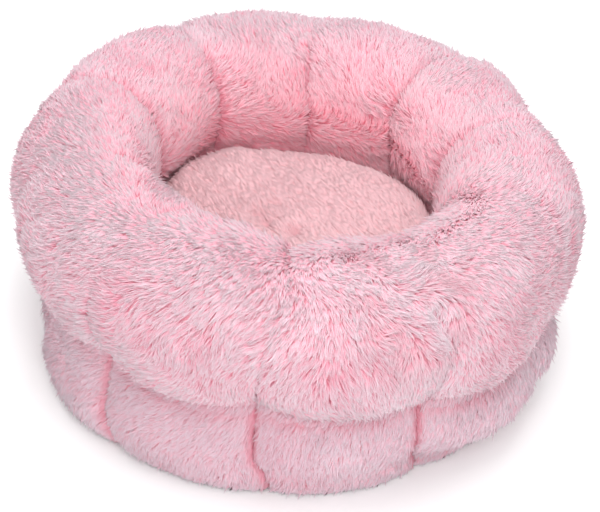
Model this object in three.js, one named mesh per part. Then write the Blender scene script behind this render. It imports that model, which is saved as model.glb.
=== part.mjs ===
// Round plush pet bed: a ring-shaped wall of ten stuffed channels with a fat roll sewn along its top, on a flat
// base, with a loose round cushion in the well. Millimetres, +Z up, origin on the floor at the bed's axis.
import * as THREE from "three";
import { mergeVertices } from "three/addons/utils/BufferGeometryUtils.js";

// ---- Driving dimensions ----
const panelCount = 10; // wall panels sewn side to side, one channel each
const outerDiameter = 500; // over the roll
const bedHeight = 216; // floor to the top of the roll
const rollWidth = 131; // the roll's radial size
const rollHeight = 136; // the roll's size from top to bottom
const outerOverhang = 34; // how far the roll stands out past the waist below it
const innerOverhang = 6; // the same on the well's side
const footInset = 34; // from the roll's outermost line in to the seam round the base
const channelBulge = 12; // how far a wall channel swells past its waist, outside
const innerBulge = 4; // the same on the well's side
const plushThickness = 14; // backing and pile together
const clothThickness = 2; // base cloth and floor lining
const basePadThickness = 30; // wadding under the well's floor
const cushionThickness = 92; // at its crown
const cushionDimple = 8; // how far the centre tuft pulls the crown down
const cushionPlush = 12; // backing and pile of the cushion's cover
const cushionGap = 3; // between the cushion and the narrowest part of the well
const webThickness = 1.5; // cloth web between two channels
const tieRadius = 1.5; // tufting thread through the cushion
const knotRadius = 3; // where the thread is tied off, above and below
const knotHeight = 2;

// ---- How deeply the seams draw the stuffing in, as shares of the distance to the wall's middle line ----
const outerPinchLow = 0.3; // outside, in the quilted channels
const outerPinchRoll = 0.1; // outside, on the roll
const innerPinch = 0.14; // on the well's side
const topPinch = 0.1; // along the top of the roll

// ---- Clearances and mesh fineness ----
const fit = 0.5; // between any two pieces that touch
const waistSeam = 1; // between the roll and the low wall, at their seam
const liningHem = 2; // between the lining's hem and the wall
const stuffingGap = 2; // between the plush and the stuffing behind it
const stepsPerPanel = 6;
const curveSteps = 4; // up a wall channel
const rollSteps = 9; // over the roll
const cushionSides = 32;
const tieSides = 10;

// ---- Sizes that follow ----
const rollInnerRadius = outerDiameter / 2 - rollWidth;
const footRadius = outerDiameter / 2 - footInset;
const wallRadius = outerDiameter / 2 - rollWidth / 2; // the middle line of the wall
const rollCentreZ = bedHeight - rollHeight / 2;
const panelFootZ = clothThickness + fit;
const liningZ = clothThickness + fit + basePadThickness + fit;
const liningTopZ = liningZ + clothThickness;
const halfPanel = Math.PI / panelCount;

const colours = {
  plush: 0xe9a9b8,
  cushionPlush: 0xecb9c2,
  fibre: 0xf4f2ee,
  cloth: 0xd9cfd2,
  wadding: 0xefece6,
  thread: 0xe2a3b0,
};

const bed = new THREE.Group();

function addPiece(name, geometry, colour) {
  const material = new THREE.MeshStandardMaterial({ color: colour, roughness: 0.95, metalness: 0 });
  const mesh = new THREE.Mesh(geometry, material);
  mesh.name = name;
  bed.add(mesh);
  return mesh;
}

// ---- The wall's section ----

// The angle on the roll's ellipse of a point that lies `overhang` inside its outermost or innermost line.
function waistAngle(overhang) {
  return Math.acos(1 - overhang / (rollWidth / 2));
}

// Points along curves laid end to end.
function pointsAlong(curves, steps) {
  return curves.flatMap((curve, i) => curve.getPoints(steps[i]).slice(i === 0 ? 0 : 1));
}

// The outside of the wall's section, as (radius, height): up the outside from the base seam, over the roll
// and down the well's side to the lining's seam.
function wallOutline() {
  const outer = waistAngle(outerOverhang);
  const inner = waistAngle(innerOverhang);
  const roll = new THREE.EllipseCurve(
    wallRadius, rollCentreZ, rollWidth / 2, rollHeight / 2, -outer, Math.PI + inner,
  );
  const outerWaist = roll.getPoint(0);
  const innerWaist = roll.getPoint(1);
  const outerSwell = new THREE.Vector2(
    outerWaist.x + 2 * channelBulge, (outerWaist.y + panelFootZ) / 2,
  );
  const innerSwell = new THREE.Vector2(
    innerWaist.x - 2 * innerBulge, (innerWaist.y + liningZ) / 2,
  );
  const outerFoot = new THREE.Vector2(footRadius, panelFootZ);
  const innerFoot = new THREE.Vector2(innerWaist.x + innerBulge, liningZ);
  const channel = new THREE.QuadraticBezierCurve(outerFoot, outerSwell, outerWaist);
  const wellSide = new THREE.QuadraticBezierCurve(innerWaist, innerSwell, innerFoot);
  return pointsAlong([channel, roll, wellSide], [curveSteps, rollSteps, curveSteps]);
}

// The outline moved towards the inside of the wall by `depth`, with its two feet kept at their heights.
function movedIn(outline, depth) {
  return outline.map((point, i) => {
    const before = outline[Math.max(i - 1, 0)];
    const after = outline[Math.min(i + 1, outline.length - 1)];
    const along = after.clone().sub(before).normalize();
    const moved = new THREE.Vector2(point.x - along.y * depth, point.y + along.x * depth);
    const isFoot = i === 0 || i === outline.length - 1;
    if (isFoot) moved.y = point.y;
    return moved;
  });
}

// Draws a point (radius, height) in towards the wall's middle line. `share` is 0 at the middle of a panel
// and 1 at its seams.
function pinched(radius, height, share) {
  const waistZ = rollCentreZ - (rollHeight / 2) * Math.sin(waistAngle(outerOverhang));
  const upTheRoll = THREE.MathUtils.smoothstep(height, waistZ, rollCentreZ);
  const outer = THREE.MathUtils.lerp(outerPinchLow, outerPinchRoll, upTheRoll);
  const across = radius > wallRadius ? outer : innerPinch;
  const above = Math.max(height - rollCentreZ, 0);
  return {
    radius: wallRadius + (radius - wallRadius) * (1 - across * share),
    height: height - above * topPinch * share,
  };
}

// How far the angle has got from the middle of its panel to a seam, rising steeply at the seam. Angles are
// measured from the front (-Y); seams lie at 0 and every 2 * halfPanel.
function seamShare(angle) {
  const fromMiddle = Math.abs(THREE.MathUtils.euclideanModulo(angle, 2 * halfPanel) - halfPanel);
  return 1 - Math.sqrt(Math.max(1 - (fromMiddle / halfPanel) ** 2, 0));
}

// A closed section turned through the panel that begins at `start`, with an end cap on each side, pinched at
// the seams and stopped `sideGap` (an angle) short of both of them.
function turnedPanel(section, start, sideGap) {
  const ordered = THREE.ShapeUtils.isClockWise(section) ? [...section].reverse() : section;
  const closed = [...ordered, ordered[0]];
  const skin = new THREE.LatheGeometry(closed, stepsPerPanel, start, 2 * halfPanel);
  const lastRow = stepsPerPanel * closed.length;
  const faces = [...skin.index.array];
  for (const [a, b, c] of THREE.ShapeUtils.triangulateShape(ordered, [])) {
    faces.push(a, b, c);
    faces.push(lastRow + c, lastRow + b, lastRow + a);
  }
  skin.setIndex(faces);
  const middle = start + halfPanel;
  return pinchedSolid(skin, (angle) => {
    const aside = THREE.MathUtils.euclideanModulo(angle - middle + Math.PI, 2 * Math.PI) - Math.PI;
    return middle + THREE.MathUtils.clamp(aside, sideGap - halfPanel, halfPanel - sideGap);
  });
}

// A closed section turned a full round, pinched at the seams.
function turnedRing(section) {
  const skin = new THREE.LatheGeometry([...section, section[0]], stepsPerPanel * panelCount);
  return pinchedSolid(skin, (angle) => angle);
}

// Stands a lathed solid up on Z, pinches it and then moves each point to the angle that `angleOf` gives.
function pinchedSolid(lathed, angleOf) {
  const solid = stoodUp(lathed);
  const place = solid.getAttribute("position");
  for (let i = 0; i < place.count; i += 1) {
    const x = place.getX(i);
    const y = place.getY(i);
    const angle = Math.atan2(x, -y);
    const at = pinched(Math.hypot(x, y), place.getZ(i), seamShare(angle));
    const to = angleOf(angle);
    place.setXYZ(i, at.radius * Math.sin(to), -at.radius * Math.cos(to), at.height);
  }
  return solid;
}

// A solid turned about Y, stood up on Z, with its shared points merged and its faces outwards.
function stoodUp(lathed) {
  lathed.deleteAttribute("normal");
  lathed.deleteAttribute("uv");
  lathed.rotateX(Math.PI / 2);
  return outwardFacing(mergeVertices(lathed, 1e-3));
}

// Turns a closed surface's triangles over if they face inwards.
function outwardFacing(geometry) {
  const place = geometry.getAttribute("position");
  const index = geometry.index.array;
  const corner = [0, 1, 2].map(() => new THREE.Vector3());
  let volume = 0;
  for (let i = 0; i < index.length; i += 3) {
    corner.forEach((v, k) => v.fromBufferAttribute(place, index[i + k]));
    volume += corner[0].dot(corner[1].clone().cross(corner[2]));
  }
  if (volume < 0) index.reverse();
  return geometry;
}

// ---- Wall panels, stuffing and seam webs ----

const outline = wallOutline();
const lining = movedIn(outline, plushThickness);
const stuffing = movedIn(outline, plushThickness + stuffingGap);
const waistIndex = curveSteps; // the outline's point at the outer waist
const innerWaistIndex = outline.length - 1 - curveSteps;
const rollFloorZ = stuffing[waistIndex].y;
const channelTopZ = rollFloorZ - fit;
const channelFootZ = panelFootZ + fit;

// The angle taken up by `length` along the wall at its narrowest.
function angleFor(length) {
  return length / (rollInnerRadius + plushThickness);
}

// The outline moved along itself at the waist, to leave room for the roll's seam.
function withWaistLowered(points) {
  const lowered = points.map((p) => p.clone());
  const waist = lowered[waistIndex];
  waist.add(lowered[waistIndex - 1].clone().sub(waist).setLength(waistSeam));
  return lowered;
}

// Plush of one channel of the low outer wall, from the base seam up to the waist.
function channelPanel(start) {
  const outside = withWaistLowered(outline).slice(0, waistIndex + 1);
  const inside = withWaistLowered(lining).slice(0, waistIndex + 1);
  return turnedPanel([...outside, ...inside.reverse()], start, angleFor(fit));
}

// Plush over one length of the roll, from the waist down to the lining's seam in the well.
function rollPanel(start) {
  const outside = outline.slice(waistIndex);
  const inside = lining.slice(waistIndex);
  return turnedPanel([...outside, ...inside.reverse()], start, angleFor(fit));
}

// Where the stuffing's outline crosses a height, on the stretch of it between two of its points.
function stuffingRadius(from, to, height) {
  const stretch = stuffing.slice(from, to + 1);
  const next = stretch.findIndex((p, i) => i > 0 && (stretch[i - 1].y - height) * (p.y - height) <= 0);
  const [a, b] = [stretch[next - 1], stretch[next]];
  return THREE.MathUtils.mapLinear(height, a.y, b.y, a.x, b.x);
}

// The stuffing's outline below the roll, as a closed section.
function channelSection() {
  const last = stuffing.length - 1;
  const outside = stuffing.slice(1, waistIndex);
  const inside = stuffing.slice(innerWaistIndex).filter((p) => p.y < channelTopZ - fit);
  return [
    new THREE.Vector2(stuffing[0].x, channelFootZ),
    ...outside,
    new THREE.Vector2(stuffingRadius(0, waistIndex, channelTopZ), channelTopZ),
    new THREE.Vector2(stuffingRadius(innerWaistIndex, last, channelTopZ), channelTopZ),
    ...inside,
    new THREE.Vector2(stuffing[last].x, channelFootZ),
  ];
}

// Fibre in one channel, between two webs.
function channelFill(start) {
  return turnedPanel(channelSection(), start, angleFor(webThickness / 2 + fit));
}

// The web of cloth in the seam at `angle`, from the outer plush to the plush of the well.
function seamWeb(angle) {
  const section = channelSection().map((p) => {
    const at = pinched(p.x, p.y, 1);
    const towardsMiddle = Math.sign(wallRadius - at.radius) * fit;
    return new THREE.Vector2(at.radius + towardsMiddle, at.height);
  });
  const web = new THREE.ExtrudeGeometry(new THREE.Shape(section), {
    depth: webThickness,
    bevelEnabled: false,
  });
  web.translate(0, 0, -webThickness / 2);
  web.rotateX(Math.PI / 2);
  web.rotateZ(angle - Math.PI / 2);
  return web;
}

// Fibre in the roll, one ring lying on the channels.
function rollFill() {
  const last = stuffing.length - 1;
  const over = stuffing.slice(waistIndex + 1, last).filter((p) => p.y > rollFloorZ + fit);
  return turnedRing([
    new THREE.Vector2(stuffingRadius(0, waistIndex, rollFloorZ), rollFloorZ),
    ...over,
    new THREE.Vector2(stuffingRadius(innerWaistIndex, last, rollFloorZ), rollFloorZ),
  ]);
}

function addWall() {
  for (let i = 0; i < panelCount; i += 1) {
    const start = i * 2 * halfPanel;
    const number = String(i + 1).padStart(2, "0");
    addPiece(`roll_panel_${number}`, rollPanel(start), colours.plush);
    addPiece(`channel_panel_${number}`, channelPanel(start), colours.plush);
    addPiece(`channel_fill_${number}`, channelFill(start), colours.fibre);
    addPiece(`seam_web_${number}`, seamWeb(start), colours.cloth);
  }
  addPiece("roll_fill", rollFill(), colours.fibre);
}

// ---- Base ----

function disc(radius, low, thickness) {
  const geometry = new THREE.CylinderGeometry(radius, radius, thickness, stepsPerPanel * panelCount);
  geometry.rotateX(Math.PI / 2);
  geometry.translate(0, 0, low + thickness / 2);
  return geometry;
}

// The bottom cloth, cut to the scalloped line of the wall's foot.
function baseCloth() {
  const points = [];
  for (let i = 0; i < stepsPerPanel * panelCount; i += 1) {
    const angle = (i * 2 * halfPanel) / stepsPerPanel;
    const { radius } = pinched(outline[0].x, outline[0].y, seamShare(angle));
    points.push(new THREE.Vector2(radius * Math.sin(angle), -radius * Math.cos(angle)));
  }
  return new THREE.ExtrudeGeometry(new THREE.Shape(points), {
    depth: clothThickness,
    bevelEnabled: false,
  });
}

function addBase() {
  const padRadius = withinFacets(stuffing.at(-1).x) - fit;
  const liningRadius = withinFacets(outline.at(-1).x) - liningHem;
  addPiece("base_cloth", baseCloth(), colours.cloth);
  addPiece("base_pad", disc(padRadius, panelFootZ, basePadThickness), colours.wadding);
  addPiece("floor_lining", disc(liningRadius, liningZ, clothThickness), colours.cloth);
}

// The largest circle inside the flat-sided ring that a wall of this radius makes.
function withinFacets(radius) {
  return radius * Math.cos(halfPanel / stepsPerPanel);
}

// ---- Cushion ----

const cushionRadius = withinFacets(rollInnerRadius) - cushionGap;
const cushionFootZ = liningTopZ + fit;
const cushionTopZ = cushionFootZ + cushionThickness;
const cushionSeamZ = cushionFootZ + cushionThickness / 2;
const tieHole = tieRadius + fit;

// Half of the cushion's outside, from its seam to the hole for the tie. `crownZ` is its highest or lowest
// height, and `middleZ` its height at the tie.
function cushionHalf(crownZ, middleZ) {
  const at = (share, height) => new THREE.Vector2(cushionRadius * share, height);
  const sideZ = THREE.MathUtils.lerp(cushionSeamZ, crownZ, 0.8);
  const shoulder = new THREE.CubicBezierCurve(
    at(1, cushionSeamZ), at(1, sideZ), at(0.9, crownZ), at(0.6, crownZ),
  );
  const dimple = new THREE.CubicBezierCurve(
    at(0.6, crownZ), at(0.3, crownZ), at(0.14, middleZ), new THREE.Vector2(tieHole, middleZ),
  );
  return pointsAlong([shoulder, dimple], [curveSteps, curveSteps]);
}

// One cover of the cushion: a dish of plush with a hole for the tie.
function cushionCover(crownZ, middleZ) {
  const up = Math.sign(crownZ - cushionSeamZ);
  const outside = cushionHalf(crownZ, middleZ);
  const inside = cushionInside(crownZ, middleZ, cushionPlush);
  const section = [...outside, ...inside.reverse()].map((p) => {
    const aboveSeam = (p.y - cushionSeamZ) * up;
    return new THREE.Vector2(p.x, cushionSeamZ + up * Math.max(aboveSeam, fit / 2));
  });
  return turnedRound(section, cushionSides);
}

// The same outside, moved in by the cover's thickness.
function cushionInside(crownZ, middleZ, depth) {
  const up = Math.sign(crownZ - cushionSeamZ);
  return cushionHalf(crownZ, middleZ).map((p) => {
    const inward = (cushionRadius - depth) / cushionRadius;
    const height = (p.y - cushionSeamZ) * up;
    const full = Math.abs(crownZ - cushionSeamZ);
    const lowered = (height * (full - depth)) / full;
    return new THREE.Vector2(Math.max(p.x * inward, tieHole), cushionSeamZ + up * lowered);
  });
}

// A closed section turned a full round about Z.
function turnedRound(section, sides) {
  return stoodUp(new THREE.LatheGeometry([...section, section[0]], sides));
}

function cushionFill() {
  const depth = cushionPlush + fit;
  const upper = cushionInside(cushionTopZ, cushionTopZ - cushionDimple, depth);
  const lower = cushionInside(cushionFootZ, cushionFootZ + cushionDimple / 2, depth);
  return turnedRound([...upper, ...lower.reverse().slice(0, -1)], cushionSides);
}

// The tufting thread, with a knot in each dimple.
function cushionTie() {
  const top = cushionTopZ - cushionDimple + fit;
  const bottom = cushionFootZ + cushionDimple / 2 - fit;
  const knot = (z, up) => [
    new THREE.Vector2(tieRadius, z),
    new THREE.Vector2(knotRadius, z + up * knotHeight * 0.3),
    new THREE.Vector2(knotRadius * 0.7, z + up * knotHeight),
    new THREE.Vector2(0, z + up * knotHeight),
  ];
  const profile = [...knot(bottom, -1).reverse(), ...knot(top, 1)];
  return turnedRound(profile, tieSides);
}

function addCushion() {
  addPiece(
    "cushion_top_cover",
    cushionCover(cushionTopZ, cushionTopZ - cushionDimple),
    colours.cushionPlush,
  );
  addPiece(
    "cushion_bottom_cover",
    cushionCover(cushionFootZ, cushionFootZ + cushionDimple / 2),
    colours.cushionPlush,
  );
  addPiece("cushion_fill", cushionFill(), colours.fibre);
  addPiece("cushion_tuft_tie", cushionTie(), colours.thread);
}

addWall();
addBase();
addCushion();

export default bed;
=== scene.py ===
"""Looks of the round plush pet bed: puffy sewn panels and a loose cushion, each with a pile of thin strands
in locks. Metres, +Z up, the front at -Y."""

import math

import bpy
import numpy as np
from mathutils import Matrix, Vector


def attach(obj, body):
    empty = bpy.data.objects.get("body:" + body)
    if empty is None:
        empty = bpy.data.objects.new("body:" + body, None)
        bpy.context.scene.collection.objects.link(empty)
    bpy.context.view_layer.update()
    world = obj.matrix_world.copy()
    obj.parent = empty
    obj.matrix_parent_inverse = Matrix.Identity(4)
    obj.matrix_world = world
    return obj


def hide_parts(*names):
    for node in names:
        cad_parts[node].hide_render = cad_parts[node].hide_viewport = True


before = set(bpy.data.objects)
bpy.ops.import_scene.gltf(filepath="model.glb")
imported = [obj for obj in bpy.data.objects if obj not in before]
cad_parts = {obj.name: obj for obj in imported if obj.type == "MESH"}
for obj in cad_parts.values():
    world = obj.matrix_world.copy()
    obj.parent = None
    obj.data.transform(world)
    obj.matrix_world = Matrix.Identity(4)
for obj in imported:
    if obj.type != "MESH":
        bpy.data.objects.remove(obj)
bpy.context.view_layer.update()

# ---- Sizes of the bed ----
PANELS = 10
PANEL_ANGLE = 2 * math.pi / PANELS
OUTER_R = 0.250  # over the pile of the roll
ROLL_W = 0.131
ROLL_H = 0.136
HEIGHT = 0.216
OUTER_OVERHANG = 0.034
INNER_OVERHANG = 0.006
FOOT_R = 0.216
FOOT_Z = 0.0025
LINING_Z = 0.033
BULGE_OUT = 0.012
BULGE_IN = 0.004
PILE_DEPTH = 0.0056  # how far the lying pile stands off its backing
BACKING = 0.004  # how thick the backing under the pile is
SEAM_TWIST = math.radians(-4.3)  # how far a wall seam has turned by the time it reaches the roll
WALL_R = OUTER_R - ROLL_W / 2
ROLL_Z = HEIGHT - ROLL_H / 2

CUSHION_R = 0.1195
CUSHION_LOW = 0.0355
CUSHION_HIGH = 0.1275
CUSHION_PILE = 0.003

# How deeply each seam draws in, from the front one round by the right: outside on the roll, over its top, and
# on the well's side.
SEAM_OUT = [0.2, 0.2, 0.6, 0.8, 1.3, 0.7, 1.5, 0.7, 0.5, 0.3]
SEAM_TOP = [0.9, 0.1, 0.2, 0.3, 1.5, 0.5, 1.7, 0.4, 0.2, 0.1]
SEAM_IN = [1.5, 0.9, 0.9, 1.0, 1.5, 1.1, 1.7, 1.2, 0.9, 0.9]


# ---- Noise ----

def noise(points, cell, seed):
    """Smooth noise between -1 and 1 at each point, with features about one cell across."""
    scaled = points / cell
    base = np.floor(scaled).astype(np.int64)
    part = scaled - base
    part = part * part * (3 - 2 * part)
    total = np.zeros(len(points))
    for corner in range(8):
        step = np.array([corner & 1, corner >> 1 & 1, corner >> 2 & 1])
        at = base + step
        mixed = at[:, 0] * 73856093 ^ at[:, 1] * 19349663 ^ at[:, 2] * 83492791 ^ (seed + 1) * 265443576
        mixed = (mixed ^ (mixed >> 13)) * 1274126177 & 0xFFFFFFFF
        mixed = (mixed ^ (mixed >> 16)) * 668265263 & 0xFFFFFFFF
        mixed = mixed ^ (mixed >> 15)
        weight = np.prod(np.where(step, part, 1 - part), axis=1)
        total += weight * (mixed / 0xFFFFFFFF * 2 - 1)
    return total


def smooth(low, high, value):
    t = np.clip((value - low) / (high - low), 0, 1)
    return t * t * (3 - 2 * t)


def unit(vectors):
    return vectors / (np.linalg.norm(vectors, axis=-1, keepdims=True) + 1e-12)


# ---- The wall's surface ----

def bent(a, b, c, s):
    """A quadratic curve from a to c, drawn towards b."""
    return (1 - s) ** 2 * a + 2 * s * (1 - s) * b + s * s * c


def wall_section(t):
    """(radius, height) on the wall's outside: t from 0 to 1 up a channel, to 2 over the roll, to 3 down the
    well's side."""
    outer = math.acos(1 - OUTER_OVERHANG / (ROLL_W / 2))
    inner = math.acos(1 - INNER_OVERHANG / (ROLL_W / 2))

    def on_roll(angle):
        return WALL_R + ROLL_W / 2 * np.cos(angle), ROLL_Z + ROLL_H / 2 * np.sin(angle)

    out_r, out_z = on_roll(-outer)
    in_r, in_z = on_roll(math.pi + inner)
    low = np.clip(t, 0, 1)
    over = np.clip(t - 1, 0, 1)
    down = np.clip(t - 2, 0, 1)
    r_over, z_over = on_roll(-outer + over * (math.pi + inner + outer))
    r_low = bent(FOOT_R, out_r + 2 * BULGE_OUT, out_r, low)
    z_low = bent(FOOT_Z, (out_z + FOOT_Z) / 2, out_z, low)
    r_down = bent(in_r, in_r - 2 * BULGE_IN, in_r + BULGE_IN, down)
    z_down = bent(in_z, (in_z + LINING_Z) / 2, LINING_Z, down)
    r = np.where(t < 1, r_low, np.where(t < 2, r_over, r_down))
    z = np.where(t < 1, z_low, np.where(t < 2, z_over, z_down))
    return r, z


def inset_section(t, inset):
    """The section moved into the wall by the depth of the pile."""
    step = 1e-3
    r, z = wall_section(t)
    r_after, z_after = wall_section(np.clip(t + step, 0, 3))
    r_before, z_before = wall_section(np.clip(t - step, 0, 3))
    length = np.hypot(r_after - r_before, z_after - z_before)
    inward_r = -(z_after - z_before) / length
    inward_z = (r_after - r_before) / length
    return r + inset * inward_r, z + inset * inward_z


# The bed isn't quite round. How far it stands out past a true ring, in mm, every 20 degrees from the front
# one round by the right: at the foot, half way up the low wall and on the roll; then how much higher the roll
# is, and how far it leans into the well.
OUT_FOOT = [2, -11, -21, -15, -3, 0, 0, 0, 0, 0, 0, 0, 0, -4, -12, 6, 17, 7]
OUT_LOW = [0, 0, 4, 20, 20, 3, 0, 0, 0, 0, 0, 0, 0, 0, -14, -17, -4, 0]
OUT_ROLL = [0, 0, 0, -7, -9, -7, -9, 14, 4, 0, 8, 3, 1, -4, -2, -5, -4, 0]
RAISED = [0, 0, 0, 0, 0, 0, -3, 5, 3, 0, 1, 0, 0, 0, 0, 0, 2, 1]
INTO_WELL = [8, 12, 9, 6, 4, 2, 4, 3, 0, 0, 0, 1, 4, 1, 1, 9, 16, 17]


def round_ring(values, phi):
    """Values given at even steps round the ring, read smoothly at any angle, in metres."""
    at = (phi / (2 * math.pi) * len(values)) % len(values)
    low = np.floor(at).astype(int)
    part = smooth(0, 1, at - low)
    values = np.array(values) / 1000
    return values[low % len(values)] * (1 - part) + values[(low + 1) % len(values)] * part


def leaning(phi, t):
    foot = 1 - smooth(0.1, 0.6, t)
    roll = smooth(0.85, 1.25, t)
    return (
        round_ring(OUT_FOOT, phi) * foot
        + round_ring(OUT_LOW, phi) * (1 - foot) * (1 - roll)
        + round_ring(OUT_ROLL, phi) * roll
    )


def wall_points(turn, t):
    """A wall grid at (turn, t): turn counts seams round from the front one, and t runs along the section.
    Each point has its place, how deep in a crease it is, which side of its seam, how much painted shade it
    takes down the well, and how dense its pile is."""
    r, z = inset_section(t, PILE_DEPTH)
    phi = turn * PANEL_ANGLE
    nearest = np.round(turn).astype(int)
    seam = nearest % PANELS
    from_seam = np.clip(2 * np.abs(turn - nearest), 0, 1)
    share = 1 - np.sqrt(np.clip(1 - (1 - from_seam) ** 2, 0, 1))
    upper = smooth(0.75, 1.5, t)
    out_depth = 0.34 * (1 - upper) + 0.10 * upper * np.array(SEAM_OUT)[seam]
    in_depth = 0.15 * np.array(SEAM_IN)[seam]
    across = np.where(r > WALL_R, out_depth, in_depth) * share
    inward = smooth(0, ROLL_W / 2, WALL_R - r) * smooth(0.10, 0.15, z)
    outside = smooth(0, ROLL_W / 2, r - WALL_R)
    r = WALL_R + (r - WALL_R) * (1 - across) - round_ring(INTO_WELL, phi) * inward + outside * leaning(phi, t)
    above = np.clip(z - ROLL_Z, 0, 1)
    z = z - above * 0.13 * np.array(SEAM_TOP)[seam] * share
    z = z + round_ring(RAISED, phi) * smooth(1.2, 1.45, t) * (1 - smooth(1.8, 2.1, t))
    waist = np.exp(-(((t - 1.06) / 0.16) ** 2))
    z = z + waist * 0.006 * (share * 1.6 - 0.5)
    phi = phi + SEAM_TWIST * smooth(0, 0.5, t) * (1 - smooth(1.1, 1.6, t))
    points = np.stack([r * np.sin(phi), -r * np.cos(phi), z], axis=-1)
    crease = wall_crease(from_seam, t, seam)
    side = np.sign(turn - nearest) * (1 - smooth(0, 0.22, from_seam))
    # Painted shade down the well: the pile turns deeper pink lower down the well's side, most of all at the
    # back.
    at_back = smooth(-0.1, 0.7, -np.cos(turn * PANEL_ANGLE))
    well = smooth(1.52, 2.05, t) * (0.60 + 0.40 * at_back)
    dense = 1 - 0.55 * smooth(2.42, 2.6, t)
    pile = np.stack([crease, side * crease, well, dense], axis=-1)
    return np.concatenate([uneven(points, t), pile], axis=-1)


def wall_crease(from_seam, t, seam):
    """How deep in a crease each point is: 1 on a seam in the low wall or at the waist, 0 on the open roll."""
    low = 1 - smooth(0.93, 1.02, t)
    in_well = smooth(1.5, 1.9, t)
    depth = low + in_well * 0.6 * np.array(SEAM_IN)[seam]
    at_seam = 1 - smooth(0, 0.11, from_seam)
    at_waist = low * np.exp(-(((t - 1.0) / 0.06) ** 2))
    # This crease depth sets the painted shade in the seams, on the well's seams and at the waist groove, and
    # how much shorter the pile is there.
    return np.clip(at_seam * depth + 0.5 * at_waist, 0, 1)


def uneven(points, t):
    """Lumps of the fibre filling, none of them at the foot or the lining's seam."""
    flat = points.reshape(-1, 3)
    lump = 0.0035 * noise(flat, 0.075, 3) + 0.0016 * noise(flat, 0.032, 5)
    hold = (smooth(0, 0.3, t) * (1 - smooth(2.6, 3, t))).reshape(-1)
    centre = np.stack([flat[:, 0], flat[:, 1], np.zeros(len(flat))], axis=-1)
    centre = unit(centre) * WALL_R + np.array([0, 0, ROLL_Z])
    moved = flat + unit(flat - centre) * (lump * hold)[:, None]
    return moved.reshape(points.shape)


def panel_grid(k, t_from, t_to, across, along):
    """A grid of points on panel k, [across, along the section, xyz], finer near its seams."""
    a = np.linspace(-1, 1, across)
    a = 0.5 * np.sin(a * math.pi / 2) + 0.5 * a
    turn, t = np.meshgrid(k + 0.5 + 0.499 * a, np.linspace(t_from, t_to, along), indexing="ij")
    return wall_points(turn, t)


# ---- The cushion's surface ----

# Small dents in the cushion's top: (x, y, depth, width).
CUSHION_DENTS = [
    (-0.029, 0.000, 0.0030, 0.005), (-0.022, -0.011, 0.0035, 0.006), (0.002, -0.019, 0.0035, 0.007),
    (-0.016, 0.018, 0.0020, 0.005),
]

# How far the cushion stands out past a true round, and how much higher its top is, every 20 degrees as above.
CUSHION_OUT = [0, 0, 0, 1, 2, 4, 5, 3, 0, 0, 0, 4, 6, 5, 3, 0, 0, 0]
CUSHION_RAISED = [0, 0, 0, 0, 2, 5, 6, 3, 1, 1, 3, 9, 10, 6, 3, 0, 0, 0]


def cushion_grid(up, around, along):
    """A grid over one half of the cushion, [round it, from its seam to its middle]."""
    turn, s = np.meshgrid(np.linspace(0, 1, around), np.linspace(0, 1, along), indexing="ij")
    phi = 2 * math.pi * turn * up
    middle = (CUSHION_LOW + CUSHION_HIGH) / 2
    half = (CUSHION_HIGH - CUSHION_LOW) / 2 - CUSHION_PILE
    edge = CUSHION_R - CUSHION_PILE
    lean = s * math.pi / 2
    r = edge * np.cos(lean) ** 0.22
    r = np.where(s > 0.6, r * (1 - smooth(0.6, 1, s)) + edge * (1 - s) * 1.9 * smooth(0.6, 1, s), r)
    z = middle + up * half * np.sin(lean) ** 0.34
    r = r * (1 + round_ring(CUSHION_OUT, phi) / edge)
    if up > 0:
        z = z + round_ring(CUSHION_RAISED, phi) * smooth(0.0, 0.35, s) * smooth(0.2, 0.9, r / edge)
    points = np.stack([r * np.sin(phi), -r * np.cos(phi), z], axis=-1)
    flat = points.reshape(-1, 3)
    top = smooth(0.15, 0.5, s).reshape(-1)
    dips = 0.0022 * noise(flat, 0.05, 11) + 0.0010 * noise(flat, 0.02, 12)
    crease = np.zeros(len(flat))
    for x, y, deep, wide in CUSHION_DENTS:
        dent = np.exp(-((flat[:, 0] - x) ** 2 + (flat[:, 1] - y) ** 2) / wide**2)
        dips = dips - deep * dent
        # Painted shade in each dent.
        crease = np.maximum(crease, dent * deep / 0.006)
    flat[:, 2] += up * dips * top
    dense = (0.25 + 0.75 * smooth(0.15, 0.3, s)).reshape(-1) if up > 0 else np.full(len(flat), 0.6)
    none = np.zeros(len(flat))
    pile = np.stack([crease, none, none, dense], axis=-1)
    return np.concatenate([flat, pile], axis=-1).reshape(*s.shape, 7)


# ---- Meshes ----

def grid_normals(p):
    across = np.gradient(p, axis=0)
    along = np.gradient(p, axis=1)
    return unit(np.cross(across, along))


def slab(p, thickness):
    """A closed slab of cloth: a grid of points and a second one behind it, as vertices, quads and normals."""
    rows, columns, _ = p.shape
    size = rows * columns
    facing = grid_normals(p)
    back = p - facing * thickness
    verts = np.concatenate([p.reshape(-1, 3), back.reshape(-1, 3)])
    normals = np.concatenate([facing.reshape(-1, 3), -facing.reshape(-1, 3)])
    i, j = np.meshgrid(np.arange(rows - 1), np.arange(columns - 1), indexing="ij")
    a = (i * columns + j).reshape(-1)
    front = np.stack([a, a + columns, a + columns + 1, a + 1], axis=-1)
    rear = front[:, ::-1] + size
    edge = [i * columns for i in range(rows)]
    edge += [(rows - 1) * columns + j for j in range(1, columns)]
    edge += [i * columns + columns - 1 for i in range(rows - 2, -1, -1)]
    edge += list(range(columns - 2, 0, -1))
    edge = np.array(edge)
    after = np.roll(edge, -1)
    rim = np.stack([after, edge, edge + size, after + size], axis=-1)
    return verts, np.concatenate([front, rear, rim]), normals


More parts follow.
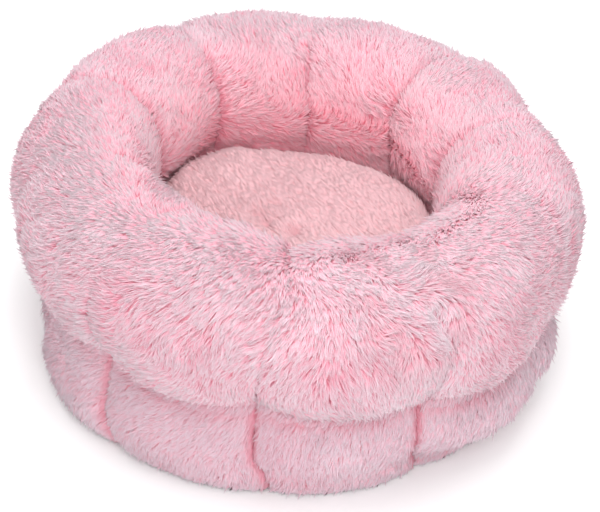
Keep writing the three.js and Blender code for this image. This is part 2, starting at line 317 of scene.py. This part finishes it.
def build(name, verts, quads, tris, tone, normals, pile_from):
    """A mesh object from arrays, shaded by the normals given. Faces whose first corner is at or past
    pile_from take the second slot."""
    mesh = bpy.data.meshes.new(name)
    mesh.vertices.add(len(verts))
    mesh.vertices.foreach_set("co", verts.astype(np.float32).reshape(-1))
    corners = np.concatenate([quads.reshape(-1), tris.reshape(-1)]).astype(np.int32)
    starts = np.concatenate([np.arange(len(quads)) * 4, len(quads) * 4 + np.arange(len(tris)) * 3])
    mesh.loops.add(len(corners))
    mesh.loops.foreach_set("vertex_index", corners)
    mesh.polygons.add(len(starts))
    mesh.polygons.foreach_set("loop_start", starts.astype(np.int32))
    first = np.concatenate([quads[:, 0], tris[:, 0]])
    mesh.polygons.foreach_set("material_index", (first >= pile_from).astype(np.int32))
    mesh.polygons.foreach_set("use_smooth", np.ones(len(starts), dtype=bool))
    mesh.update(calc_edges=True)
    attribute = mesh.attributes.new("pile", "FLOAT_COLOR", "POINT")
    attribute.data.foreach_set("color", tone.astype(np.float32).reshape(-1))
    attribute = mesh.attributes.new("custom_normal", "FLOAT_VECTOR", "POINT")
    attribute.data.foreach_set("vector", normals.astype(np.float32).reshape(-1))
    obj = bpy.data.objects.new(name, mesh)
    bpy.context.collection.objects.link(obj)
    return obj


# ---- Pile ----

def roots(grid, spacing, rng):
    """Spread places on a grid: (point, normal, across, along, and the grid's own numbers)."""
    p = grid[..., :3]
    n = grid_normals(p)
    a, b, c, d = p[:-1, :-1], p[1:, :-1], p[1:, 1:], p[:-1, 1:]
    area = (np.linalg.norm(np.cross(c - a, d - b), axis=-1) * grid[:-1, :-1, 6]).reshape(-1) / 2
    edges = np.concatenate([[0], np.cumsum(area)])
    count = int(edges[-1] / spacing**2)
    at = (np.arange(count) + rng.random(count)) / count * edges[-1]
    cell = np.clip(np.searchsorted(edges, at, side="right") - 1, 0, len(area) - 1)
    i, j = np.divmod(cell, p.shape[1] - 1)
    u = rng.random(count)[:, None]
    v = rng.random(count)[:, None]

    def between(g):
        low = g[i, j] * (1 - u) + g[i + 1, j] * u
        high = g[i, j + 1] * (1 - u) + g[i + 1, j + 1] * u
        return low * (1 - v) + high * v

    normal = unit(between(n))
    along = p[i, j + 1] - p[i, j] + p[i + 1, j + 1] - p[i + 1, j]
    along = unit(along - normal * np.sum(along * normal, axis=-1, keepdims=True))
    return between(p), normal, np.cross(normal, along), along, between(grid[..., 3:])


RUFFLED = (0.085, -0.185, 0.185)  # where the pile of the roll is pushed about
RUFFLED_R = 0.075
ROOT_DEPTH = 0.0012  # how far a strand starts inside the backing
OFF_FLOOR = 0.0004  # how near the floor a strand may come
UPWARD = 0.45  # how much the shading of a strand turns up


def ruffled(place):
    return 1 - smooth(0.3, 1.0, np.linalg.norm(place - np.array(RUFFLED), axis=1) / RUFFLED_R)


def wall_heading(place, well, look):
    """Which way the wall's pile lies, as an angle from straight up the section. It is parted over the crest
    of the roll's front."""
    from_axis = np.hypot(place[:, 0], place[:, 1])
    fan = look["fan"] * place[:, 0] / (from_axis + 1e-6)
    at_front = smooth(-0.1, 0.6, -place[:, 1] / (from_axis + 1e-6))
    over_crest = at_front * (1 - smooth(WALL_R - 0.050, WALL_R + 0.014, from_axis))
    inside = np.maximum(over_crest, smooth(0.6, 1.0, well))
    return (look["heading"] + fan) * (1 - inside) + look["well_heading"] * inside


def locks(grid, look, rng):
    """The pile on a grid, as vertices, triangles, tones and normals. Each lock is a few thin blade-shaped
    strands, bent at their widest, whose tips draw a little together. They are shaded softly, mostly as the
    surface they lie on."""
    place, normal, across, along, extra = roots(grid, look["spacing"], rng)
    crease, side, well, _ = extra.T
    count = len(place)
    if "flow" in look:
        heading = np.arctan2(across @ np.array(look["flow"]), along @ np.array(look["flow"]))
    else:
        heading = wall_heading(place, well, look)
    heading = heading + look["swirl"] * (
        1.1 * noise(place, 0.055, look["seed"]) + 0.7 * noise(place, 0.022, look["seed"] + 1)
    )
    heading = heading + rng.normal(0, look["scatter"], count)
    messy = ruffled(place)
    heading = heading + messy * 1.6 * noise(place, 0.014, look["seed"] + 6)
    comb = along * np.cos(heading)[:, None] + across * np.sin(heading)[:, None]
    comb = unit(comb - across * (0.6 * side)[:, None])
    lean = look["lean"] + 0.14 * noise(place, 0.018, look["seed"] + 2) + rng.normal(0, 0.07, count)
    lean = lean - messy * (0.22 + 0.25 * noise(place, 0.010, look["seed"] + 7))
    length = look["length"] * (1 + 0.16 * noise(place, 0.012, look["seed"] + 3) + rng.normal(0, 0.08, count))
    length = length * (1 - look["cut"] * crease)
    each = look["strands"]
    total = count * each
    pick = np.repeat(np.arange(count), each)
    turn = rng.random(total) * 2 * math.pi
    spread = np.sqrt(rng.random(total)) * look["spacing"] * 0.75
    offset = across[pick] * (np.cos(turn) * spread)[:, None] + along[pick] * (np.sin(turn) * spread)[:, None]
    own_length = (length[pick] * rng.uniform(0.70, 1.08, total))[:, None]
    loose = rng.random(total) < 0.08
    own_lean = lean[pick] + rng.normal(0, 0.08, total) - loose * rng.uniform(0.1, 0.4, total)
    own_lean = np.clip(own_lean, 0.25, 1.42)
    low_lean = own_lean * 0.74
    high_lean = np.clip(own_lean * 1.22, 0, 1.5)
    rise = normal[pick]
    flow = comb[pick]
    start = place[pick] + offset - rise * ROOT_DEPTH
    lower = rise * np.cos(low_lean)[:, None] + flow * np.sin(low_lean)[:, None]
    higher = rise * np.cos(high_lean)[:, None] + flow * np.sin(high_lean)[:, None]
    middle = start + lower * own_length * 0.42 - offset * 0.10
    tip = middle + higher * own_length * 0.58 - offset * look["gather"]
    width = look["width"] * rng.uniform(0.8, 1.15, total)[:, None]
    right = unit(np.cross(lower, rise + 0.3 * across[pick]))
    verts = np.stack([start, middle - right * width, middle + right * width, tip], axis=1)
    verts[..., 2] = np.maximum(verts[..., 2], OFF_FLOOR)
    soft = rise + np.array([0, 0, UPWARD])
    normals = [unit(soft), unit(soft - right), unit(soft + right), unit(soft + 0.4 * higher)]
    base = (np.arange(total) * 4)[:, None]
    tris = [base + np.array(corners) for corners in ((0, 2, 1), (2, 3, 1), (0, 1, 3), (0, 3, 2))]
    tone = np.zeros((total, 4, 4))
    tone[:, 1:3, 0] = 0.5
    tone[:, 3, 0] = 1.0
    patch = 0.5 + 0.3 * noise(place, 0.020, look["seed"] + 4) + 0.35 * noise(place, 0.055, look["seed"] + 5)
    # Painted shade: deeper pink in the creases and in the gaps of the ruffled patch.
    deep = np.maximum(crease, 0.45 * messy * smooth(-0.3, 0.6, noise(place, 0.016, look["seed"] + 8)))
    tone[:, :, 1] = (0.45 * patch[pick] + 0.30 * rng.random(count)[pick] + 0.25 * rng.random(total))[:, None]
    tone[:, :, 2] = deep[pick][:, None]
    # Painted shade down the well.
    tone[:, :, 3] = well[pick][:, None]
    normals = np.stack(normals, axis=1).reshape(-1, 3)
    return verts.reshape(-1, 3), np.concatenate(tris), tone.reshape(-1, 4), normals


def plush_piece(name, grid, look, seed, materials):
    rng = np.random.default_rng(seed)
    cloth, cloth_quads, cloth_normals = slab(grid[..., :3], BACKING)
    strands, tris, tone, strand_normals = locks(grid, look, rng)
    offset = len(cloth)
    verts = np.concatenate([cloth, strands])
    half_tone = np.zeros((offset // 2, 4))
    half_tone[:, 1] = 0.5
    half_tone[:, 2] = grid[..., 3].reshape(-1)
    half_tone[:, 3] = grid[..., 5].reshape(-1)
    cloth_tone = np.concatenate([half_tone, half_tone])
    obj = build(
        name,
        verts,
        cloth_quads,
        tris + offset,
        np.concatenate([cloth_tone, tone]),
        np.concatenate([cloth_normals, strand_normals]),
        offset,
    )
    for material in materials:
        obj.data.materials.append(material)
    return obj


# ---- Materials ----

def new_material(name):
    material = bpy.data.materials.new(name)
    material.use_nodes = True
    return material, material.node_tree, material.node_tree.nodes["Principled BSDF"]


def add_ramp(tree, stops):
    node = tree.nodes.new("ShaderNodeValToRGB")
    ramp = node.color_ramp
    ramp.elements[0].position, ramp.elements[0].color = stops[0][0], (*stops[0][1], 1)
    ramp.elements[1].position, ramp.elements[1].color = stops[-1][0], (*stops[-1][1], 1)
    for position, colour in stops[1:-1]:
        ramp.elements.new(position).color = (*colour, 1)
    return node


def add_mix(tree, share, low, high, blend="MIX"):
    """A colour mix. share is a number or a socket; low and high are colours or sockets."""
    mix = tree.nodes.new("ShaderNodeMixRGB")
    mix.blend_type = blend
    for socket, value in zip(mix.inputs, (share, low, high)):
        if isinstance(value, bpy.types.NodeSocket):
            tree.links.new(value, socket)
        else:
            socket.default_value = value if isinstance(value, (int, float)) else (*value, 1)
    return mix.outputs[0]


def add_scaled(tree, socket, factor):
    scaled = tree.nodes.new("ShaderNodeMath")
    scaled.operation = "MULTIPLY"
    scaled.inputs[1].default_value = factor
    tree.links.new(socket, scaled.inputs[0])
    return scaled.outputs[0]


def read_pile(tree):
    """What each point of the pile says: (how near the tip, which shade of pink, how much painted shade in
    creases and gaps, how much painted shade down the well)."""
    attribute = tree.nodes.new("ShaderNodeAttribute")
    attribute.attribute_name = "pile"
    split = tree.nodes.new("ShaderNodeSeparateColor")
    tree.links.new(attribute.outputs["Color"], split.inputs[0])
    return (*split.outputs, attribute.outputs["Alpha"])


def pile_material(name, stops, well_shade_stops, crease_shade_colour, vary):
    """Pile: deeper at the root, whitish at the tip, with painted shade down the well and in creases, and a
    little different from lock to lock."""
    material, tree, shader = new_material(name)
    near_tip, shade, crease, well = read_pile(tree)
    ramp = add_ramp(tree, stops)
    well_shade_ramp = add_ramp(tree, well_shade_stops)
    shade_ramp = add_ramp(tree, [(0.1, vary), (0.5, (0.97, 0.93, 0.94)), (0.9, (1, 1, 1))])
    tree.links.new(near_tip, ramp.inputs[0])
    tree.links.new(near_tip, well_shade_ramp.inputs[0])
    tree.links.new(shade, shade_ramp.inputs[0])
    region = add_mix(tree, well, ramp.outputs[0], well_shade_ramp.outputs[0])
    deep = add_mix(tree, add_scaled(tree, crease, 0.7), region, crease_shade_colour)
    varied = add_mix(tree, 1, deep, shade_ramp.outputs[0], "MULTIPLY")
    tree.links.new(varied, shader.inputs["Base Color"])
    shader.inputs["Roughness"].default_value = 0.8
    shader.inputs["Specular IOR Level"].default_value = 0.2
    return material


def ground_material(name, dark, light, well_shade_colour, crease_shade_colour, cell):
    """The thick of the pile: fine tangled streaks, with painted shade down the well and in creases."""
    material, tree, shader = new_material(name)
    _, _, crease, well = read_pile(tree)
    pattern = add_tangle(tree, cell)
    ramp = add_ramp(tree, [(0.3, dark), (0.7, light)])
    tree.links.new(pattern, ramp.inputs[0])
    region = add_mix(tree, well, ramp.outputs[0], well_shade_colour)
    deep = add_mix(tree, add_scaled(tree, crease, 0.8), region, crease_shade_colour)
    tree.links.new(deep, shader.inputs["Base Color"])
    finish_material(tree, shader, pattern, cell * 0.8)
    return material


def add_tangle(tree, cell):
    place = tree.nodes.new("ShaderNodeTexCoord")
    tangle = tree.nodes.new("ShaderNodeTexNoise")
    tangle.inputs["Scale"].default_value = 1 / cell
    tangle.inputs["Detail"].default_value = 4
    tangle.inputs["Roughness"].default_value = 0.65
    tangle.inputs["Distortion"].default_value = 1.5
    tree.links.new(place.outputs["Object"], tangle.inputs["Vector"])
    return tangle.outputs[0]


def cloth_material(name, dark, light, cell):
    """Woven cloth: two crossed sets of threads."""
    material, tree, shader = new_material(name)
    place = tree.nodes.new("ShaderNodeTexCoord")
    mix = tree.nodes.new("ShaderNodeMixRGB")
    mix.blend_type = "MULTIPLY"
    mix.inputs[0].default_value = 1
    for k, direction in enumerate(("X", "Y")):
        wave = tree.nodes.new("ShaderNodeTexWave")
        wave.bands_direction = direction
        wave.inputs["Scale"].default_value = 1 / cell
        wave.inputs["Distortion"].default_value = 0.6
        tree.links.new(place.outputs["Object"], wave.inputs["Vector"])
        tree.links.new(wave.outputs["Color"], mix.inputs[k + 1])
    ramp = add_ramp(tree, [(0.3, dark), (0.7, light)])
    tree.links.new(mix.outputs[0], ramp.inputs[0])
    tree.links.new(ramp.outputs[0], shader.inputs["Base Color"])
    finish_material(tree, shader, mix.outputs[0], 0.0004)
    return material


def fluff_material(name, dark, light, cell):
    """Loose fibre."""
    material, tree, shader = new_material(name)
    pattern = add_tangle(tree, cell)
    ramp = add_ramp(tree, [(0.3, dark), (0.7, light)])
    tree.links.new(pattern, ramp.inputs[0])
    tree.links.new(ramp.outputs[0], shader.inputs["Base Color"])
    finish_material(tree, shader, pattern, cell * 0.8)
    return material


def finish_material(tree, shader, pattern, relief):
    bump = tree.nodes.new("ShaderNodeBump")
    bump.inputs["Distance"].default_value = relief
    tree.links.new(pattern, bump.inputs["Height"])
    tree.links.new(bump.outputs[0], shader.inputs["Normal"])
    shader.inputs["Roughness"].default_value = 0.9
    shader.inputs["Specular IOR Level"].default_value = 0.15


ROLL_STOPS = [
    (0, (0.84, 0.20, 0.28)), (0.45, (0.79, 0.42, 0.50)),
    (0.75, (0.78, 0.60, 0.66)), (1, (0.82, 0.76, 0.80)),
]
LOW_STOPS = [
    (0, (0.80, 0.24, 0.32)), (0.45, (0.76, 0.46, 0.53)),
    (0.75, (0.76, 0.58, 0.65)), (1, (0.80, 0.72, 0.77)),
]
# The pile down the well, deeper and redder: painted shade.
WELL_SHADE_STOPS = [(0, (0.98, 0.22, 0.30)), (0.5, (0.94, 0.38, 0.45)), (1, (0.94, 0.58, 0.64))]
CUSHION_STOPS = [(0, (0.79, 0.36, 0.39)), (0.5, (0.83, 0.52, 0.55)), (1, (0.86, 0.61, 0.64))]
# Painted shade in the seam creases, at the waist groove and in the ruffled patch's gaps.
SEAM_SHADE_COLOUR = (0.80, 0.26, 0.34)
# Painted shade in the cushion's dents.
DENT_SHADE_COLOUR = (0.48, 0.14, 0.18)
# Painted shade down the well.
WELL_SHADE_COLOUR = (1.0, 0.30, 0.38)
pile_roll = pile_material("roll_pile", ROLL_STOPS, WELL_SHADE_STOPS, SEAM_SHADE_COLOUR, (0.97, 0.69, 0.75))
pile_low = pile_material("channel_pile", LOW_STOPS, WELL_SHADE_STOPS, SEAM_SHADE_COLOUR, (0.96, 0.79, 0.83))
pile_dusty = pile_material("cushion_pile", CUSHION_STOPS, CUSHION_STOPS, DENT_SHADE_COLOUR, (0.95, 0.90, 0.91))
under_pink = ground_material(
    "plush_ground", (0.94, 0.36, 0.44), (0.96, 0.48, 0.56), WELL_SHADE_COLOUR, SEAM_SHADE_COLOUR, 0.0011
)
under_dusty = ground_material(
    "cushion_ground", (0.78, 0.42, 0.45), (0.83, 0.50, 0.53), WELL_SHADE_COLOUR, DENT_SHADE_COLOUR, 0.0009
)

CAD_LOOKS = {
    "floor_lining": cloth_material("lining_weave", (0.62, 0.36, 0.40), (0.78, 0.50, 0.54), 0.0015),
    "base_pad": fluff_material("wadding", (0.80, 0.80, 0.78), (0.92, 0.92, 0.90), 0.004),
    "seam_web": cloth_material("web_weave", (0.60, 0.46, 0.48), (0.76, 0.62, 0.64), 0.0012),
    "cushion_tuft_tie": cloth_material("thread_twist", (0.62, 0.22, 0.25), (0.74, 0.32, 0.35), 0.0005),
    "fill": fluff_material("fibre", (0.84, 0.84, 0.82), (0.95, 0.95, 0.94), 0.003),
}
for name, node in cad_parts.items():
    for part_of_name, look in CAD_LOOKS.items():
        if part_of_name in name:
            node.data.materials.clear()
            node.data.materials.append(look)

# The pile lies down the outside and down the well. Headings are angles from straight up the section; the
# cushion's pile all flows one way.
ROLL_LOOK = {
    "spacing": 0.00218, "strands": 5, "length": 0.0138, "width": 0.00037, "lean": 1.27, "gather": 0.25,
    "heading": math.pi, "well_heading": math.pi * 0.30, "fan": 1.15,
    "swirl": 0.85, "scatter": 0.20, "cut": 0.35, "seed": 20,
}
CHANNEL_LOOK = {
    "spacing": 0.0020, "strands": 5, "length": 0.0130, "width": 0.00036, "lean": 1.27, "gather": 0.25,
    "heading": math.pi * 0.84, "well_heading": math.pi * 0.84, "fan": 0.1,
    "swirl": 0.40, "scatter": 0.20, "cut": 0.35, "seed": 40,
}
CUSHION_LOOK = {
    "spacing": 0.0025, "strands": 5, "length": 0.0100, "width": 0.00033, "lean": 1.36, "gather": 0.1,
    "flow": (-0.75, 0.65, 0.0), "swirl": 0.15, "scatter": 0.12, "cut": 0.5, "seed": 60,
}


def add_plush(name, p, look, seed, materials, body, node):
    obj = plush_piece(name, p, look, seed, materials)
    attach(obj, body)
    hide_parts(node)


for k in range(PANELS):
    number = f"{k + 1:02d}"
    roll = panel_grid(k, 1.0, 3.0, 33, 101)
    low = panel_grid(k, 0.0, 1.0, 33, 33)
    add_plush(
        f"roll_plush_{number}", roll, ROLL_LOOK, 100 + k, (under_pink, pile_roll),
        "bed", f"roll_panel_{number}",
    )
    add_plush(
        f"channel_plush_{number}", low, CHANNEL_LOOK, 200 + k, (under_pink, pile_low),
        "bed", f"channel_panel_{number}",
    )

for side, up, seed in (("top", 1, 301), ("bottom", -1, 302)):
    add_plush(
        f"cushion_plush_{side}", cushion_grid(up, 121, 61), CUSHION_LOOK, seed, (under_dusty, pile_dusty),
        "cushion", f"cushion_{side}_cover",
    )

# ---- The cloth under the bed ----

def base_grid():
    """The base cloth, stretched flat inside the wall's foot."""
    turn, s = np.meshgrid(np.linspace(0, PANELS, 361), np.linspace(0.002, 1, 31), indexing="ij")
    foot = wall_points(turn, np.zeros(turn.shape))
    flat = np.stack([foot[..., 0] * s, foot[..., 1] * s, np.full(turn.shape, 0.0024)], axis=-1)
    return flat[::-1]


verts, quads, normals = slab(base_grid(), 0.0018)
no_pile = np.zeros((0, 3), dtype=int)
base = build("base_cloth_sheet", verts, quads, no_pile, np.ones((len(verts), 4)), normals, len(verts))
base.data.materials.append(cloth_material("base_weave", (0.55, 0.42, 0.44), (0.72, 0.58, 0.60), 0.0015))
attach(base, "bed")
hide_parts("base_cloth")

# ---- Camera, floor and light ----
MIDDLE = Vector((0, 0, 0.1))
ELEVATION = math.radians(35.6)
DISTANCE = 1.66
ROLL = math.radians(5.6)
camera = bpy.data.objects.new("camera", bpy.data.cameras.new("camera"))
bpy.context.collection.objects.link(camera)
back = Vector((0, -math.cos(ELEVATION), math.sin(ELEVATION)))
right = Vector((1, 0, 0))
up = back.cross(right)
right_rolled = right * math.cos(ROLL) + up * math.sin(ROLL)
up_rolled = up * math.cos(ROLL) - right * math.sin(ROLL)
axes = Matrix((right_rolled, up_rolled, back)).transposed().to_4x4()
camera.matrix_world = Matrix.Translation(MIDDLE + back * DISTANCE) @ axes
camera.data.sensor_width = 36
camera.data.lens = 115
camera.data.shift_x = 0.0102
camera.data.shift_y = -0.0225
bpy.context.scene.camera = camera

FLOOR = 6.0
FLOOR_Z = -0.0002
floor_mesh = bpy.data.meshes.new("floor")
floor_corners = [(-FLOOR, -FLOOR), (FLOOR, -FLOOR), (FLOOR, FLOOR), (-FLOOR, FLOOR)]
floor_mesh.from_pydata([(x, y, FLOOR_Z) for x, y in floor_corners], [], [(0, 1, 2, 3)])
floor = bpy.data.objects.new("floor", floor_mesh)
bpy.context.collection.objects.link(floor)
floor_material, _, floor_shader = new_material("floor")
floor_shader.inputs["Base Color"].default_value = (0.96, 0.96, 0.96, 1)
floor_shader.inputs["Roughness"].default_value = 0.9
floor.data.materials.append(floor_material)

world = bpy.data.worlds.new("world")
bpy.context.scene.world = world
world.use_nodes = True
world.node_tree.nodes["Background"].inputs["Color"].default_value = (1, 1, 1, 1)
world.node_tree.nodes["Background"].inputs["Strength"].default_value = 0.92


def area_light(name, at, size, power):
    light = bpy.data.lights.new(name, "AREA")
    light.shape = "DISK"
    light.size = size
    light.energy = power
    obj = bpy.data.objects.new(name, light)
    obj.location = at
    obj.rotation_euler = (MIDDLE - Vector(at)).to_track_quat("-Z", "Y").to_euler()
    bpy.context.collection.objects.link(obj)


area_light("key", (0.05, -1.8, 1.5), 1.4, 22)
area_light("top", (-0.1, -0.2, 2.2), 1.2, 20)

bpy.context.scene.view_settings.view_transform = "Standard"
